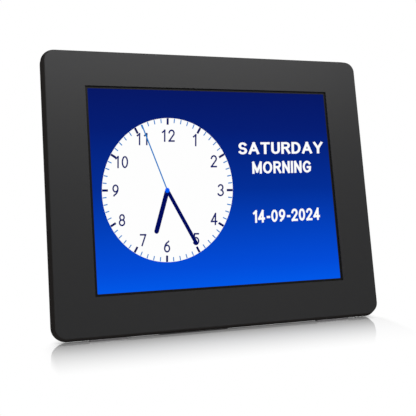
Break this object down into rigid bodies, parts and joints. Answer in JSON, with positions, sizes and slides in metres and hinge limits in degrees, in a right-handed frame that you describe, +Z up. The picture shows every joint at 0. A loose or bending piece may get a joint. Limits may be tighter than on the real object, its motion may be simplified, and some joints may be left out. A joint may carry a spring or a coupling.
{
  "type": "digital reminder clock",
  "caption": "Digital day clock with a flat rounded dark frame, an LCD that shows a dial, weekday and date, rear buttons, keyholes and a fold-out stand.",
  "frame": {"origin": "on the table, under the middle of the clock's bounding box", "axes": "+X along the clock's width, to the right seen from the front; -Y the way that the screen faces; +Z up"},
  "size_m": [0.2084, 0.0816, 0.1682],
  "materials": {
    "frame_plastic": "fine satin texture, dark grey",
    "cover_plastic": "fine spark-eroded texture, near black",
    "leg_plastic": "fine spark-eroded texture, near black",
    "button_plastic": "satin, near black",
    "foot_rubber": "matt black",
    "gasket_foam": "matt black foam",
    "screen_glass": "glossy, lit from behind",
    "white_plastic": "matt white",
    "clear_plastic": "clear acrylic with a dot pattern",
    "sheet_plastic": "white film",
    "circuit_board": "green lacquer",
    "led_lens": "yellow phosphor in a white body",
    "sheet_steel": "plain zinc-plated sheet",
    "screw_steel": "zinc-plated",
    "black_screw_steel": "black oxide",
    "pin_steel": "ground bar",
    "cell_steel": "plain stamped steel",
    "flat_cable": "amber film",
    "pale_cable": "white film with grey tracks",
    "chip_resin": "matt black moulding resin",
    "can_aluminium": "plain can",
    "black_moulding": "semi-gloss black",
    "contact_brass": "plain",
    "cone_paper": "pressed black paper",
    "magnet_steel": "nickel-plated",
    "wire_sheath": "red insulation",
    "plunger_plastic": "red-brown"
  },
  "bodies": {
    "case": {"front_bezel": "frame_plastic", "bezel_feet": "foot_rubber", "screen_gasket": "gasket_foam", "lcd_glass": "screen_glass", "lcd_mid_frame": "white_plastic", "diffuser_sheet": "sheet_plastic", "light_guide": "clear_plastic", "reflector_sheet": "sheet_plastic", "led_strip": "circuit_board", "led_chips": "led_lens", "backlight_tray": "sheet_steel", "lcd_clamps": "sheet_steel", "clamp_screws": "screw_steel", "lcd_ribbon": "flat_cable", "main_board": "circuit_board", "main_processor": "chip_resin", "memory_chips": "chip_resin", "power_inductor": "chip_resin", "board_capacitors": "can_aluminium", "ribbon_connector": "white_plastic", "coin_cell_holder": "black_moulding", "coin_cell": "cell_steel", "power_socket": "black_moulding", "power_socket_pin": "contact_brass", "board_screws": "screw_steel", "speaker_frame": "magnet_steel", "speaker_cone": "cone_paper", "speaker_magnet": "magnet_steel", "speaker_gasket": "gasket_foam", "speaker_screws": "screw_steel", "speaker_plug": "white_plastic", "speaker_wires": "wire_sheath", "key_board": "circuit_board", "tact_switches": "black_moulding", "key_board_screws": "screw_steel", "key_cable": "pale_cable", "key_connector": "white_plastic", "rear_cover": "cover_plastic", "cover_screws": "black_screw_steel", "stand_hinge_pin": "pin_steel"},
    "stand": {"stand_leg": "leg_plastic", "stand_foot_pad": "foot_rubber"},
    "power_button": {"button_power": "button_plastic", "plunger_power": "plunger_plastic"},
    "menu_button": {"button_menu": "button_plastic", "plunger_menu": "plunger_plastic"},
    "left_button": {"button_left": "button_plastic", "plunger_left": "plunger_plastic"},
    "right_button": {"button_right": "button_plastic", "plunger_right": "plunger_plastic"},
    "up_button": {"button_up": "button_plastic", "plunger_up": "plunger_plastic"},
    "down_button": {"button_down": "button_plastic", "plunger_down": "plunger_plastic"}
  },
  "joints": [
    {"name": "stand_fold", "type": "hinge", "parent": "case", "child": "stand", "pos_m": [0, 0.00676, 0.11449], "axis": [1, 0, 0], "range_deg": [-28, 0]},
    {"name": "power_press", "type": "slide", "parent": "case", "child": "power_button", "axis": [0, -0.9744, 0.225], "range_m": [0, 0.0004], "stiffness_N_per_m": 1000},
    {"name": "menu_press", "type": "slide", "parent": "case", "child": "menu_button", "axis": [0, -0.9744, 0.225], "range_m": [0, 0.0004], "stiffness_N_per_m": 1000},
    {"name": "left_press", "type": "slide", "parent": "case", "child": "left_button", "axis": [0, -0.9744, 0.225], "range_m": [0, 0.0004], "stiffness_N_per_m": 1000},
    {"name": "right_press", "type": "slide", "parent": "case", "child": "right_button", "axis": [0, -0.9744, 0.225], "range_m": [0, 0.0004], "stiffness_N_per_m": 1000},
    {"name": "up_press", "type": "slide", "parent": "case", "child": "up_button", "axis": [0, -0.9744, 0.225], "range_m": [0, 0.0004], "stiffness_N_per_m": 1000},
    {"name": "down_press", "type": "slide", "parent": "case", "child": "down_button", "axis": [0, -0.9744, 0.225], "range_m": [0, 0.0004], "stiffness_N_per_m": 1000}
  ]
}
